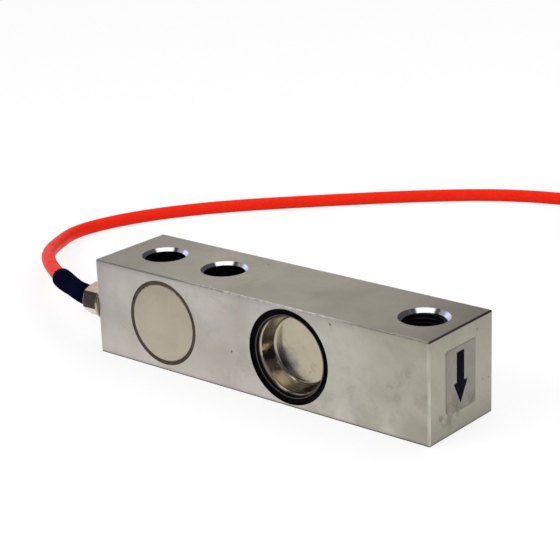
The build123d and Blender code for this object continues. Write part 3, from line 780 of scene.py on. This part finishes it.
def measured(line):
    """A line with the distance of each of its points along it."""
    reach = [0.0]
    for a, b in zip(line, line[1:]):
        reach.append(reach[-1] + (b - a).length)
    return line, reach


def line_of(points):
    """Points of the smooth line itself, in millimetres, with their distances along it."""
    guide = spline_object("guide", points, 0.0, 12)
    guide.data.use_fill_caps = False
    graph = bpy.context.evaluated_depsgraph_get()
    mesh = bpy.data.meshes.new_from_object(guide.evaluated_get(graph), depsgraph=graph)
    line = [v.co / MM for v in mesh.vertices]
    bpy.data.objects.remove(guide)
    return measured(line)


def place_at(line, reach, distance):
    """Point and direction at a distance along a measured line."""
    k = 0
    while k < len(line) - 2 and reach[k + 1] < distance:
        k += 1
    run = line[k + 1] - line[k]
    return line[k] + run * ((distance - reach[k]) / run.length), run.normalized()


def round_about(heading, turns):
    """Directions all round a line that runs along the given heading."""
    side = heading.cross(Vector((0, 0, 1))).normalized()
    up = side.cross(heading)
    return [side * math.cos(TAU * i / turns) + up * math.sin(TAU * i / turns) for i in range(turns)]


def sleeve_along(name, line, reach, start, end, profile, lumps, turns=48, rings=90):
    """A shrunk sleeve along part of a line. The profile gives radii by share of its length."""
    verts, faces, sections = [], [], []
    for k in range(rings + 1):
        share = k / rings
        centre, heading = place_at(line, reach, start + (end - start) * share)
        lumpy = lumps * min(1.0, 12 * share, 12 * (1 - share))
        ring = []
        for d in round_about(heading, turns):
            r = profile(share) + lumpy * noise.noise((centre + d * 2.0) * 0.35)
            ring.append(len(verts))
            verts.append(centre + d * r)
        sections.append(ring)
    for low, high in zip(sections, sections[1:]):
        for i in range(turns):
            j = (i + 1) % turns
            faces.append((low[i], low[j], high[j], high[i]))
    for ring in (sections[0], sections[-1]):
        hub = len(verts)
        verts.append(sum((Vector(verts[i]) for i in ring), Vector()) / turns)
        faces += [(ring[i], ring[(i + 1) % turns], hub) for i in range(turns)]
    return facing_out(new_object(name, verts, faces))


route_line, route_reach = line_of(ROUTE)


def swelling(share, middle, spread):
    """1 at the middle and less on both sides of it."""
    return math.exp(-((share - middle) / spread) ** 2)


def relief_profile(share):
    """Radius of the relief sleeve: full at the gland, a soft waist, a fuller outer half, a rounded end."""
    plain, length, rounding = 3.42, 30.0, 0.4
    r = plain + 0.16 * swelling(share, 0.0, 0.2)
    r += 0.1 * swelling(share, 0.86, 0.12) - 0.2 * swelling(share, 0.5, 0.17)
    left = (1 - share) * length
    if left < rounding:
        r -= rounding * (1 - math.sqrt(max(0.0, 1 - (1 - left / rounding) ** 2)))
    return r


RELIEF_START, RELIEF_END = 2.3, 31.9
relief = sleeve_along(
    "relief_sleeve", route_line, route_reach, RELIEF_START, RELIEF_END, relief_profile, 0.04)
dress(crisp(relief, 60), ["strain_relief_sleeve"], [sleeve_black])

tail_line, tail_reach = line_of(coil_points()[-3:] + TAIL)
tail_length = tail_reach[-1]


def end_profile(share):
    """Radius of the end sleeve: snug on the jacket, drawn in round the leads."""
    r, neck, neck_length, lip = 3.1, 0.56, 0.14, 0.05
    if share > neck:
        r -= 0.75 * min(1.0, (share - neck) / neck_length)
    if share < lip:
        r -= 0.25 * (1 - share / lip)
    return r


def beyond(distance):
    """Point and direction past the end of the jacket, straight on."""
    centre, heading = place_at(tail_line, tail_reach, tail_length - 0.01)
    return centre + heading * distance, heading


ON_JACKET, ON_LEADS = 7, 6
end_line = [place_at(tail_line, tail_reach, tail_length - ON_JACKET + k)[0] for k in range(ON_JACKET)]
end_line += [beyond(k)[0] for k in range(ON_LEADS)]
end_line, end_reach = measured(end_line)
end_sleeve = sleeve_along(
    "end_sleeve_black", end_line, end_reach, 0.0, end_reach[-1], end_profile, 0.06, 40, 40)
dress(crisp(end_sleeve, 60), ["end_sleeve"], [sleeve_black])

# Flying leads: each leaves the end sleeve, comes down to the floor and fans out
tail_end, tail_heading = beyond(0.0)
tail_side = Vector((-tail_heading.y, tail_heading.x, 0)).normalized()
lead_colours = {
    "white": (rgb(232, 231, 226), rgb(214, 212, 204)),
    "green": (rgb(26, 132, 62), rgb(20, 104, 50)),
    "black": (rgb(22, 22, 24), rgb(36, 36, 38)),
    "red": (rgb(204, 30, 28), rgb(180, 26, 24)),
}
lead_material = {c: sheath("lead_" + c, a, b, 0.42) for c, (a, b) in lead_colours.items()}
tinned = bare_metal("tinned_copper", rgb(206, 200, 186), 0.3)

# Each lead's way out of the sleeve and its lane on the floor: (side, lane, rise)
BESIDE = 0.62
leads = {
    "white": (-BESIDE, -5.1, BESIDE),
    "green": (-BESIDE, -1.7, -BESIDE),
    "black": (BESIDE, 1.7, -BESIDE),
    "red": (BESIDE, 5.1, BESIDE),
}


def lead_points(side, lane, rise, radius):
    """Route of a lead past the end of the jacket: straight out, down to the floor and along it."""
    floor = radius - tail_end.z
    places = [(side, rise, 2.0), (side, rise, 8.0), ((side + lane) / 2, rise / 2 + floor / 2, 16.0),
              (lane, floor, 23.0), (lane * 1.15, floor, 33.0)]
    return [tail_end + tail_side * s + Vector((0, 0, z)) + tail_heading * d for s, z, d in places]


def add_tip(bm, end, heading):
    """A twisted and tinned tip, 6 mm long, from the end of a lead."""
    turns, rings, strands = 24, 24, 7
    previous = None
    for k in range(rings + 1):
        centre = end + heading * (6.0 * k / rings - 0.2)
        ring = []
        for i, d in enumerate(round_about(heading, turns)):
            r = 0.26 + 0.035 * math.cos(strands * (TAU * i / turns - 0.5 * k))
            r *= 1 if k < rings else 0.6
            ring.append(bm.verts.new((centre + d * r) * MM))
        if previous:
            for i in range(turns):
                j = (i + 1) % turns
                bm.faces.new((previous[i], previous[j], ring[j], ring[i]))
        previous = ring
    bm.faces.new(previous)


tips_bm = bmesh.new()
for colour, (side, lane, rise) in leads.items():
    points = lead_points(side, lane, rise, LEAD_R)
    lead = spline_object("lead_" + colour, points, LEAD_R, 10)
    lead.data.bevel_resolution = 5
    dress(lead, ["flying_lead_" + colour], [lead_material[colour]])
    add_tip(tips_bm, points[-1], (points[-1] - points[-2]).normalized())
bmesh.ops.recalc_face_normals(tips_bm, faces=tips_bm.faces)
tips_mesh = bpy.data.meshes.new("lead_tips")
tips_bm.to_mesh(tips_mesh)
tips_bm.free()
tips_mesh.polygons.foreach_set("use_smooth", [True] * len(tips_mesh.polygons))
tips = dress(linked("lead_tips", tips_mesh), ["tinned_tips"], [tinned])

# The drain wire ends where the leads start to run along the floor
drain = spline_object("drain_tail", lead_points(0, 0, 0, DRAIN_R)[:-1], DRAIN_R, 10)
dress(drain, ["flying_drain"], [tinned])

# Label

def foil_material():
    """Worn grey foil, smudged towards its lower corner."""
    s = Shader("label_foil")
    grain = s.noise(s.mapped((1100, 1100, 90)), detail=4.0, rough=0.65)
    smudge = s.noise(s.mapped(260, offset=(1, 6, 2)), detail=5.0, rough=0.65, warp=0.6)
    low = s.spread(s.axes()["Z"], 0.006, 0.013, 1.0, 0.0)
    worn = s.math("MULTIPLY", low, s.spread(smudge, 0.42, 0.62))
    tone = s.mix(s.spread(grain, 0.35, 0.65, 0.0, 0.5), rgb(149, 144, 134), rgb(128, 124, 114))
    tone = s.mix(worn, tone, rgb(112, 108, 92))
    s.set(Base_Color=tone, Metallic=0.75, Roughness=s.spread(smudge, 0.3, 0.7, 0.42, 0.55),
          Normal=s.bump(grain, 0.15, 0.00004))
    return s.material


def plate(name, outline, base, thickness, edge=0.04):
    """A thin plate on the load face, from its outline as (y, z) points."""
    verts = [(LOAD_FACE + h, y, z) for h in (base, base + thickness) for y, z in outline]
    n = len(outline)
    faces = [tuple(range(n)), tuple(range(2 * n - 1, n - 1, -1))]
    faces += [(i, i + n, (i + 1) % n + n, (i + 1) % n) for i in range(n)]
    return soften(facing_out(new_object(name, verts, faces, False)), edge, 2, 30)


def foil_outline():
    """Foil with slightly cut corners and a ragged lower left corner."""
    left, right, low, high, nip = -7.9, 6.9, 6.4, 26.2, 0.25
    points = [(right - nip, high), (left + nip, high), (left, high - nip), (left, 8.3)]
    ragged = [(0.15, 1.55), (0.1, 1.2), (0.45, 1.0), (0.5, 0.72), (0.95, 0.62), (1.05, 0.35),
              (1.5, 0.25), (1.7, 0.0)]
    points += [(left + y, low + z) for y, z in ragged]
    return points + [(right - nip, low), (right, low + nip), (right, high - nip)]


FOIL_THICKNESS, ARROW_BASE, ARROW_THICKNESS = 0.11, 0.10, 0.04
foil = plate("foil_label", foil_outline(), 0.0, FOIL_THICKNESS)
dress(foil, ["load_label"], [foil_material()])

arrow_outline = [(-2.65, 24.55), (-2.65, 15.35), (-4.14, 15.25), (-0.78, 8.71), (2.83, 15.05),
                 (1.05, 15.2), (1.05, 24.55)]
arrow = plate("load_arrow", arrow_outline[::-1], ARROW_BASE, ARROW_THICKNESS, 0.01)
dress(arrow, [], [arrow_black])

# Inner pieces

node_materials = {
    "shear_gauge_front": compound("gauge_film", rgb(196, 150, 70), rgb(176, 128, 56), 0.35, 1200.0, 0.00003),
    "terminal_board": compound("board_green", rgb(28, 92, 52), rgb(22, 78, 44), 0.4, 900.0, 0.00004),
    "board_adhesive": compound("adhesive", rgb(70, 66, 60), rgb(84, 80, 72), 0.6, 800.0, 0.0001),
    "trim_resistors": compound("resistor_blue", rgb(60, 96, 150), rgb(50, 84, 136), 0.35, 900.0, 0.00004),
    "gauge_leads_front": sheath("enamel_wire", rgb(158, 84, 40), rgb(138, 70, 32), 0.35),
    "gland_o_ring": compound("o_ring_rubber", rgb(24, 23, 24), rgb(34, 33, 33), 0.5, 900.0, 0.00005),
    "gland_potting": compound("potting", rgb(40, 38, 40), rgb(52, 50, 50), 0.5, 700.0, 0.0001),
    "solder_joints": bare_metal("solder", rgb(198, 198, 200), 0.26),
    "drain_wire": tinned,
}
node_materials["shear_gauge_rear"] = node_materials["shear_gauge_front"]
node_materials["gauge_leads_rear"] = node_materials["gauge_leads_front"]
for name in ("gauge_terminals_front", "gauge_terminals_rear"):
    node_materials[name] = node_materials["solder_joints"]
for colour in leads:
    node_materials["conductor_" + colour] = lead_material[colour]
for name, material in node_materials.items():
    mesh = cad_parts[name].data
    mesh.materials.clear()
    mesh.materials.append(material)

# Floor, light and camera

def rays_seen(s, glossy_share=1.0):
    """1 for rays from the camera and for refracted rays, and a share for reflected ones."""
    path = s.node("ShaderNodeLightPath").outputs
    seen = s.math("MAXIMUM", path["Is Camera Ray"], path["Is Transmission Ray"])
    return s.math("MAXIMUM", seen, s.math("MULTIPLY", path["Is Glossy Ray"], glossy_share))


# Reflections see the floor fade between these distances in metres
FLOOR_FADES = (0.20, 0.42)
FLOOR_GLOW, FLOOR_TONE, FLOOR_FAR_TONE = 0.78, 0.86, 0.01
FLOOR_REACH, FLOOR_Z = 4000, -0.02


def floor_material():
    """Pale floor that looks white, keeps a soft shadow and fades in reflections further out."""
    s = Shader("floor")
    near = s.spread(s.vector_math("LENGTH", s.coords), *FLOOR_FADES, 1.0, 0.1)
    share = s.math("MULTIPLY", rays_seen(s, near), FLOOR_GLOW)
    glossy = s.node("ShaderNodeLightPath").outputs["Is Glossy Ray"]
    faded = s.math("MULTIPLY", glossy, s.math("SUBTRACT", 1.0, near))
    tone = s.math("SUBTRACT", FLOOR_TONE, s.math("MULTIPLY", faded, FLOOR_TONE - FLOOR_FAR_TONE))
    diffuse = s.node("ShaderNodeBsdfDiffuse", {"Color": tone})
    glow = s.node("ShaderNodeEmission", {"Color": (1, 1, 1, 1), "Strength": 1.0})
    return s.show(s.node("ShaderNodeMixShader", {0: share, 1: diffuse.outputs[0], 2: glow.outputs[0]}))


corners = ((-1, -1), (1, -1), (1, 1), (-1, 1))
floor_corners = [(FLOOR_REACH * x, FLOOR_REACH * y, FLOOR_Z) for x, y in corners]
floor = new_object("floor", floor_corners, [(0, 1, 2, 3)], False)
floor.data.materials.append(floor_material())

world = bpy.data.worlds.new("studio")
bpy.context.scene.world = world
world.use_nodes = True
world_nodes = Nodes(world.node_tree)
background = world.node_tree.nodes["Background"]
background.inputs["Color"].default_value = (1, 1, 1, 1)
# Full strength where the world is seen, less where it only lights the part
strength = world_nodes.spread(rays_seen(world_nodes), 0.0, 1.0, 0.55, 1.0)
world_nodes.put(background.inputs["Strength"], strength)

# Surroundings that only reflections see: (direction, inner angle, outer angle, colour), painted in order
SURROUNDINGS = [
    ((0.03, -0.05, 1.00), 36, 44, (0.06, 0.06, 0.07)),
    ((0.03, -0.05, 1.00), 25, 31, (1.5, 1.5, 1.46)),
    ((-0.93, 0.20, 0.27), 8, 30, (0.86, 1.0, 1.25)),
    ((-0.60, 0.75, 0.33), 18, 36, (0.76, 0.74, 0.69)),
    ((0.35, 0.90, 0.20), 41, 56, (0.08, 0.08, 0.10)),
    ((-0.69, 0.38, 0.62), 6, 14, (0.90, 0.86, 0.84)),
    ((-0.61, -0.79, 0.20), 20, 36, (0.06, 0.06, 0.07)),
    ((-0.17, -0.79, 0.59), 4, 8, (6.0, 5.6, 4.8)),
]
ROOM = (0.38, 0.38, 0.40)


def surroundings_material():
    """Dim room with a soft box above, a window behind, darker walls and a small bright lamp."""
    s = Shader("surroundings")
    heading = s.vector_math("NORMALIZE", s.coords)
    tone = ROOM + (1.0,)
    for direction, inner, outer, colour in SURROUNDINGS:
        facing = s.vector_math("DOT_PRODUCT", heading, tuple(Vector(direction).normalized()))
        low, high = (math.cos(math.radians(angle)) for angle in (outer, inner))
        inputs = {"Value": facing, "From Min": low, "From Max": high}
        mask = s.node("ShaderNodeMapRange", inputs, interpolation_type="SMOOTHSTEP").outputs["Result"]
        tone = s.mix(mask, tone, colour + (1.0,))
    return s.show(s.node("ShaderNodeEmission", {"Color": tone, "Strength": 1.0}))


DOME_R = 1800
dome_angles = [math.radians(a) for a in range(0, 90, 6)]
dome_outline = [(DOME_R * math.cos(a), DOME_R * math.sin(a)) for a in dome_angles] + [(0, DOME_R)]
dome = lathe("surroundings", upright(0), dome_outline, 64)
dome.data.materials.append(surroundings_material())
for ray in ("camera", "diffuse", "transmission", "volume_scatter", "shadow"):
    setattr(dome, "visible_" + ray, False)


def area(name, place, target, size, power):
    """A soft box aimed at a point, which reflections don't show. Places are in metres."""
    data = bpy.data.lights.new(name, "AREA")
    data.shape = "RECTANGLE"
    data.size, data.size_y = size
    data.energy = power
    light = linked(name, data)
    light.location = place
    light.rotation_euler = (Vector(target) - Vector(place)).to_track_quat("-Z", "Y").to_euler()
    light.visible_glossy = False


BEAM_MIDDLE = (0.03, 0, 0.015)
area("key", (-0.35, -0.9, 0.9), BEAM_MIDDLE, (0.8, 0.6), 9.0)
area("fill", (0.9, -0.35, 0.55), BEAM_MIDDLE, (0.6, 0.5), 3.5)
area("top", (0.1, 0.5, 1.1), (0.03, 0.05, 0.0), (0.7, 0.7), 5.0)

# Camera as fitted to the photograph: metres, degrees and millimetres
CAMERA_PLACE = (0.35644, -0.37913, 0.20490)
CAMERA_TURN = (70.853, 1.969, 39.579)
CAMERA_LENS = 110.94
camera_data = bpy.data.cameras.new("camera")
camera_data.sensor_width = 36.0
camera_data.lens = CAMERA_LENS
camera_data.clip_start = 0.01
camera = linked("camera", camera_data)
camera.location = CAMERA_PLACE
camera.rotation_euler = tuple(math.radians(a) for a in CAMERA_TURN)
bpy.context.scene.camera = camera
bpy.context.scene.view_settings.view_transform = "Standard"
